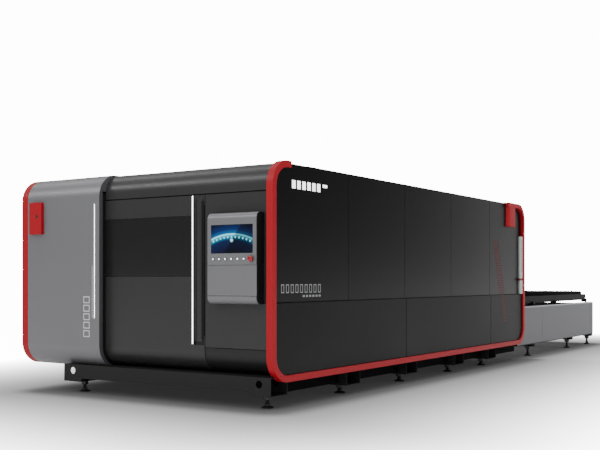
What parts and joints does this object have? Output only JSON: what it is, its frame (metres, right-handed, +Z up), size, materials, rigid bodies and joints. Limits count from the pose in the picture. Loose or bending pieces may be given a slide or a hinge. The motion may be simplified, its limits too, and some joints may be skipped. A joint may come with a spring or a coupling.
{
  "type": "fibre laser cutting machine",
  "caption": "Fully enclosed flat-bed fibre laser cutting machine with sliding door, operator console and a two-level pallet changer behind.",
  "frame": {"origin": "middle of the whole footprint, on the floor", "axes": "-Y is the operator's front, +Y the pallet changer at the rear, +X the right side, +Z up"},
  "size_m": [3.28, 10.345, 2.24],
  "materials": {
    "base_paint": "satin dark powder coat",
    "foot_steel": "blackened steel",
    "red_paint": "satin red powder coat",
    "gloss_black": "gloss black paint",
    "dark_panel": "satin dark grey paint",
    "body_charcoal": "satin charcoal powder coat",
    "grey_paint": "satin grey powder coat",
    "white_print": "white printed strip",
    "lock_steel": "plated lock barrel",
    "dark_glass": "tinted laser safety window",
    "light_bar": "white diffuser",
    "lamp_diffuser": "frosted diffuser",
    "console_black": "satin black powder coat",
    "screen_face": "glossy display",
    "key_plastic": "black keyboard",
    "button_white": "white caps",
    "stop_red": "red cap",
    "bed_paint": "dark grey enamel",
    "guide_steel": "ground steel",
    "gantry_aluminium": "anodised",
    "carriage_paint": "dark paint",
    "head_aluminium": "anodised",
    "source_paint": "light grey powder coat",
    "pallet_paint": "dark enamel, worn",
    "slat_steel": "cut mild steel sheet",
    "table_grey": "satin grey powder coat",
    "drive_paint": "painted housing"
  },
  "bodies": {
    "machine": {"bed": "bed_paint", "bed_guides": "guide_steel", "cabinet_side": "body_charcoal", "cabinet_skin": "grey_paint", "changer_drive": "drive_paint", "console_case": "console_black", "console_cover": "grey_paint", "cross_tubes": "base_paint", "fixed_panel": "body_charcoal", "front_beam": "base_paint", "inner_frame": "base_paint", "keyboard": "key_plastic", "laser_source": "source_paint", "left_panel": "dark_panel", "levelling_feet": "foot_steel", "lock_plate": "red_paint", "lower_panel": "body_charcoal", "pallet_tracks": "guide_steel", "rear_wall": "dark_panel", "roof_deck": "dark_panel", "roof_front": "body_charcoal", "screen": "screen_face", "side_beams": "base_paint", "side_lamp": "lamp_diffuser", "side_lower_1": "dark_panel", "side_lower_2": "dark_panel", "side_lower_3": "dark_panel", "side_upper_1": "gloss_black", "side_upper_2": "gloss_black", "side_upper_3": "gloss_black", "side_upper_4": "gloss_black", "side_upper_5": "gloss_black", "table_end": "table_grey", "table_frame": "bed_paint", "table_side_1": "table_grey", "table_side_2": "table_grey", "table_side_left": "table_grey", "trim_left": "red_paint", "trim_right": "red_paint", "white_line": "white_print"},
    "door": {"door_panel": "body_charcoal", "door_window": "dark_glass", "door_light": "light_bar", "door_grip": "body_charcoal"},
    "stop": {"stop_button": "stop_red"},
    "flap": {"keyboard_flap": "grey_paint"},
    "lock": {"lock_barrel": "lock_steel"},
    "gantry_body": {"gantry": "gantry_aluminium"},
    "carriage_body": {"carriage": "carriage_paint"},
    "head_body": {"cutting_head": "head_aluminium"},
    "pallet_a": {"upper_pallet": "pallet_paint", "upper_slats": "slat_steel"},
    "pallet_b": {"lower_pallet": "pallet_paint", "lower_slats": "slat_steel"},
    "key_1": {"button_1": "button_white"},
    "key_2": {"button_2": "button_white"},
    "key_3": {"button_3": "button_white"},
    "key_4": {"button_4": "button_white"},
    "key_5": {"button_5": "button_white"},
    "key_6": {"button_6": "button_white"}
  },
  "joints": [
    {"name": "door_slide", "type": "slide", "parent": "machine", "child": "door", "axis": [-1, 0, 0], "range_m": [0, 1]},
    {"name": "key_1_press", "type": "slide", "parent": "machine", "child": "key_1", "axis": [0, 1, 0], "range_m": [0, 0.003], "stiffness_N_per_m": 600, "springref_m": -0.001},
    {"name": "key_2_press", "type": "slide", "parent": "machine", "child": "key_2", "axis": [0, 1, 0], "range_m": [0, 0.003], "stiffness_N_per_m": 600, "springref_m": -0.001},
    {"name": "key_3_press", "type": "slide", "parent": "machine", "child": "key_3", "axis": [0, 1, 0], "range_m": [0, 0.003], "stiffness_N_per_m": 600, "springref_m": -0.001},
    {"name": "key_4_press", "type": "slide", "parent": "machine", "child": "key_4", "axis": [0, 1, 0], "range_m": [0, 0.003], "stiffness_N_per_m": 600, "springref_m": -0.001},
    {"name": "key_5_press", "type": "slide", "parent": "machine", "child": "key_5", "axis": [0, 1, 0], "range_m": [0, 0.003], "stiffness_N_per_m": 600, "springref_m": -0.001},
    {"name": "key_6_press", "type": "slide", "parent": "machine", "child": "key_6", "axis": [0, 1, 0], "range_m": [0, 0.003], "stiffness_N_per_m": 600, "springref_m": -0.001},
    {"name": "stop_press", "type": "slide", "parent": "machine", "child": "stop", "axis": [0, 1, 0], "range_m": [0, 0.006], "stiffness_N_per_m": 2000, "springref_m": -0.002},
    {"name": "flap_turn", "type": "hinge", "parent": "machine", "child": "flap", "pos_m": [1.2045, -5.131, 1.02], "axis": [1, 0, 0], "range_deg": [0, 90]},
    {"name": "lock_turn", "type": "hinge", "parent": "machine", "child": "lock", "pos_m": [-1.366, -5.12, 1.829], "axis": [0, 1, 0], "range_deg": [0, 90]},
    {"name": "gantry_slide", "type": "slide", "parent": "machine", "child": "gantry_body", "axis": [0, 1, 0], "range_m": [-0.7, 2.9]},
    {"name": "carriage_slide", "type": "slide", "parent": "gantry_body", "child": "carriage_body", "axis": [1, 0, 0], "range_m": [-0.7, 0.7]},
    {"name": "head_slide", "type": "slide", "parent": "carriage_body", "child": "head_body", "axis": [0, 0, 1], "range_m": [-0.06, 0.1]},
    {"name": "pallet_slide", "type": "slide", "parent": "machine", "child": "pallet_a", "axis": [0, -1, 0], "range_m": [0, 4.2]},
    {"name": "second_pallet_slide", "type": "slide", "parent": "machine", "child": "pallet_b", "axis": [0, 1, 0], "range_m": [0, 4.2]}
  ],
  "couplings": [
    {"joint": "second_pallet_slide", "follows": "pallet_slide", "ratio": 1}
  ]
}
